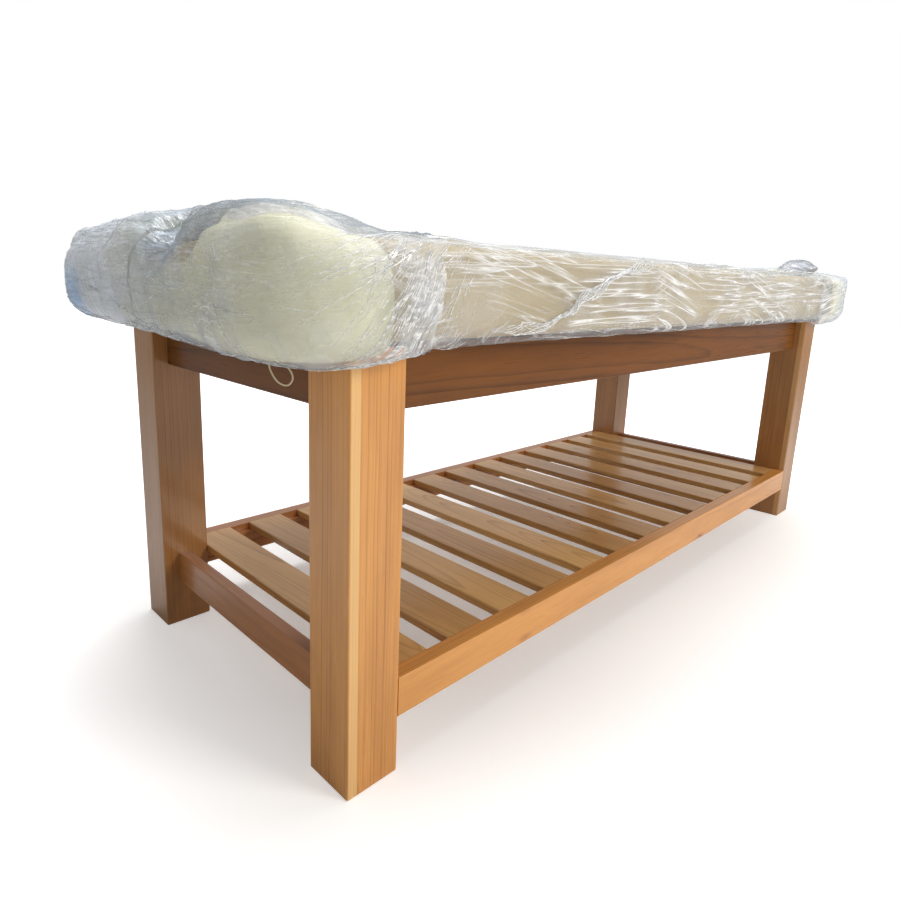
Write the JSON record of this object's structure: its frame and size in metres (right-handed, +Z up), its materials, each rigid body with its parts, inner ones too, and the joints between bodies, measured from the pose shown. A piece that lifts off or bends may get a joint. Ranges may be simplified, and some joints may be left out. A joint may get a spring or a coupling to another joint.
{
  "type": "massage bed",
  "caption": "Wooden massage bed: four square legs, slatted lower shelf and a loose padded mattress with a raised, notched head cushion, wrapped in clear stretch film.",
  "frame": {"origin": "on the floor under the middle of the bed", "axes": "+Z up, X along the bed with the head end at -X, Y across it"},
  "size_m": [2.05, 0.81, 0.8066],
  "materials": {
    "leg_wood": "satin lacquer",
    "rail_wood": "satin lacquer",
    "apron_wood": "satin lacquer",
    "slat_wood": "satin lacquer",
    "inner_wood": "planed, unfinished",
    "plywood": "sanded sheet",
    "screw_steel": "zinc plated",
    "core_foam": "open-cell foam",
    "cover_leather": "smooth synthetic leather",
    "cap_foam": "soft padded cream wrap",
    "stretch_film": "clear, glossy, wrinkled",
    "cream_string": "thin string"
  },
  "bodies": {
    "frame": {"leg_head_near": "leg_wood", "leg_head_far": "leg_wood", "leg_foot_near": "leg_wood", "leg_foot_far": "leg_wood", "side_rail_near": "rail_wood", "side_rail_far": "rail_wood", "end_rail_head": "rail_wood", "end_rail_foot": "rail_wood", "side_apron_near": "apron_wood", "side_apron_far": "apron_wood", "end_apron_head": "apron_wood", "end_apron_foot": "apron_wood", "shelf_slat_01": "slat_wood", "shelf_slat_02": "slat_wood", "shelf_slat_03": "slat_wood", "shelf_slat_04": "slat_wood", "shelf_slat_05": "slat_wood", "shelf_slat_06": "slat_wood", "shelf_slat_07": "slat_wood", "shelf_slat_08": "slat_wood", "shelf_slat_09": "slat_wood", "shelf_slat_10": "slat_wood", "shelf_slat_11": "slat_wood", "shelf_slat_12": "slat_wood", "shelf_slat_13": "slat_wood", "shelf_ledger_near": "inner_wood", "shelf_ledger_far": "inner_wood", "deck_ledger_near": "inner_wood", "deck_ledger_far": "inner_wood", "deck_end_ledger_head": "inner_wood", "deck_end_ledger_foot": "inner_wood", "deck_bearer_1": "inner_wood", "deck_bearer_2": "inner_wood", "deck_bearer_3": "inner_wood", "deck_panel": "plywood", "shelf_screws": "screw_steel"},
    "mattress": {"mattress_core": "core_foam", "mattress_cover": "cover_leather", "head_foam_cap": "cap_foam", "foot_foam_cap": "cap_foam", "head_cushion": "cap_foam", "film_head": "stretch_film", "film_body": "stretch_film", "film_foot": "stretch_film", "tie_loop": "cream_string"}
  },
  "joints": [
    {"name": "mattress_lift", "type": "slide", "parent": "frame", "child": "mattress", "axis": [0, 0, 1], "range_m": [0, 0.3]}
  ]
}
